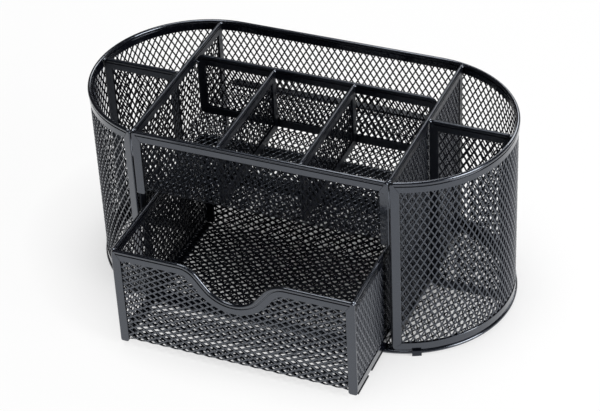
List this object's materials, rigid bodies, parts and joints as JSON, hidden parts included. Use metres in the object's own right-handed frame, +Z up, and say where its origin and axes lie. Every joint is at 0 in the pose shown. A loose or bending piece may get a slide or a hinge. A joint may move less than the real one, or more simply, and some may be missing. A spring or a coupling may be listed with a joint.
{
  "type": "pen stand with drawer",
  "caption": "Oval desk pen stand of expanded steel mesh with bound edges, open compartments over a tray and a sliding drawer with a finger dip.",
  "frame": {"origin": "middle of the footprint with the drawer standing open at rest, on the surface it stands on", "axes": "+X along the stand's length to the right, +Y to the rear, away from the drawer front, +Z up"},
  "size_m": [0.22, 0.1488, 0.103],
  "materials": {
    "mesh": "semi-gloss black paint on expanded steel mesh",
    "binding": "semi-gloss black paint on folded steel strip",
    "weld": "painted weld nugget"
  },
  "bodies": {
    "stand": {"wall_mesh": "mesh", "wall_top_rim": "binding", "wall_bottom_rim": "binding", "left_front_post": "binding", "right_front_post": "binding", "base_mesh": "mesh", "base_rim": "binding", "base_clips": "binding", "left_cross_panel_mesh": "mesh", "left_cross_panel_binding": "binding", "right_cross_panel_mesh": "mesh", "right_cross_panel_binding": "binding", "rear_divider_mesh": "mesh", "rear_divider_binding": "binding", "left_small_divider_mesh": "mesh", "left_small_divider_binding": "binding", "right_small_divider_mesh": "mesh", "right_small_divider_binding": "binding", "left_end_divider_mesh": "mesh", "left_end_divider_binding": "binding", "right_end_divider_mesh": "mesh", "right_end_divider_binding": "binding", "tray_sheet": "mesh", "tray_front_binding": "binding", "tray_rear_binding": "binding", "stand_welds": "weld"},
    "drawer": {"drawer_sheet": "mesh", "drawer_front_binding": "binding", "drawer_back_binding": "binding", "drawer_left_side_mesh": "mesh", "drawer_left_side_binding": "binding", "drawer_right_side_mesh": "mesh", "drawer_right_side_binding": "binding", "drawer_hems": "binding", "drawer_welds": "weld"}
  },
  "joints": [
    {"name": "drawer_slide", "type": "slide", "parent": "stand", "child": "drawer", "axis": [0, -1, 0], "range_m": [-0.0378, 0.042]}
  ]
}
